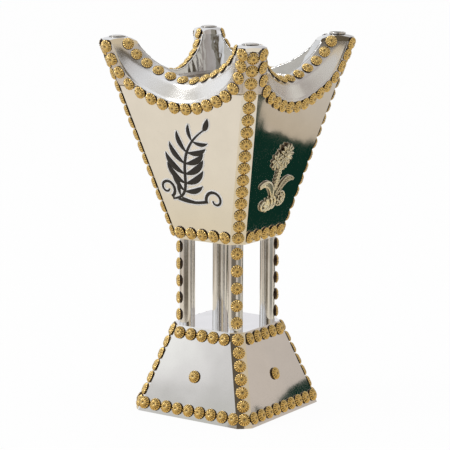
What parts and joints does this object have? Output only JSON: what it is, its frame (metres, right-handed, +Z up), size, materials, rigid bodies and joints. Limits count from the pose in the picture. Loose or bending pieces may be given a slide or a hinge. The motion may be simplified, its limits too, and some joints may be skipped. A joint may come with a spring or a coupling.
{
  "type": "incense burner",
  "caption": "Square mabkhara incense burner: wooden core clad in polished steel sheet and domed nails, flared four-horned bowl on four posts over a spreading base, lift-out charcoal pan.",
  "frame": {"origin": "middle of the base's underside, on the surface it stands on", "axes": "+Z up; -Y towards the lettered front face; +X towards the face with the raised flower"},
  "size_m": [0.1748, 0.1748, 0.3436],
  "materials": {
    "wood": "plain sawn boards",
    "steel_sheet": "mirror polished thin sheet",
    "gold_nails": "embossed brass-plated heads",
    "flower_gold": "raised gold ornament",
    "pan_steel": "brushed",
    "ornament_black": "satin leaf ornament on the sheet"
  },
  "bodies": {
    "burner": {"base_bottom_board": "wood", "base_deck": "wood", "base_board_front": "wood", "base_board_right": "wood", "base_board_back": "wood", "base_board_left": "wood", "post_core_front_right": "wood", "post_core_back_right": "wood", "post_core_back_left": "wood", "post_core_front_left": "wood", "bowl_floor": "wood", "bowl_board_front": "wood", "bowl_board_right": "wood", "bowl_board_back": "wood", "bowl_board_left": "wood", "hearth_shelf": "wood", "base_panel_front": "steel_sheet", "base_panel_right": "steel_sheet", "base_panel_back": "steel_sheet", "base_panel_left": "steel_sheet", "base_corner_strip_front_right": "steel_sheet", "base_corner_strip_back_right": "steel_sheet", "base_corner_strip_back_left": "steel_sheet", "base_corner_strip_front_left": "steel_sheet", "base_top_plate": "steel_sheet", "post_sleeve_front_right": "steel_sheet", "post_sleeve_back_right": "steel_sheet", "post_sleeve_back_left": "steel_sheet", "post_sleeve_front_left": "steel_sheet", "bowl_bottom_plate": "steel_sheet", "bowl_panel_front": "steel_sheet", "bowl_panel_right": "steel_sheet", "bowl_panel_back": "steel_sheet", "bowl_panel_left": "steel_sheet", "rim_band_front": "steel_sheet", "rim_band_right": "steel_sheet", "rim_band_back": "steel_sheet", "rim_band_left": "steel_sheet", "bowl_corner_strip_front_right": "steel_sheet", "bowl_corner_strip_back_right": "steel_sheet", "bowl_corner_strip_back_left": "steel_sheet", "bowl_corner_strip_front_left": "steel_sheet", "horn_cap_front_right": "steel_sheet", "horn_cap_back_right": "steel_sheet", "horn_cap_back_left": "steel_sheet", "horn_cap_front_left": "steel_sheet", "hearth_lining": "steel_sheet", "hearth_ledge": "steel_sheet", "base_face_nails": "gold_nails", "base_corner_nails": "gold_nails", "post_nails": "gold_nails", "bowl_bottom_nails": "gold_nails", "bowl_corner_nails": "gold_nails", "rim_outer_nails": "gold_nails", "rim_inner_nails": "gold_nails", "horn_buttons": "gold_nails", "flower_heads": "flower_gold", "flower_leaves": "flower_gold", "flower_scrolls": "flower_gold"},
    "pan": {"charcoal_pan": "pan_steel"}
  },
  "joints": [
    {"name": "pan_lift", "type": "slide", "parent": "burner", "child": "pan", "axis": [0, 0, 1], "range_m": [0, 0.08]}
  ]
}
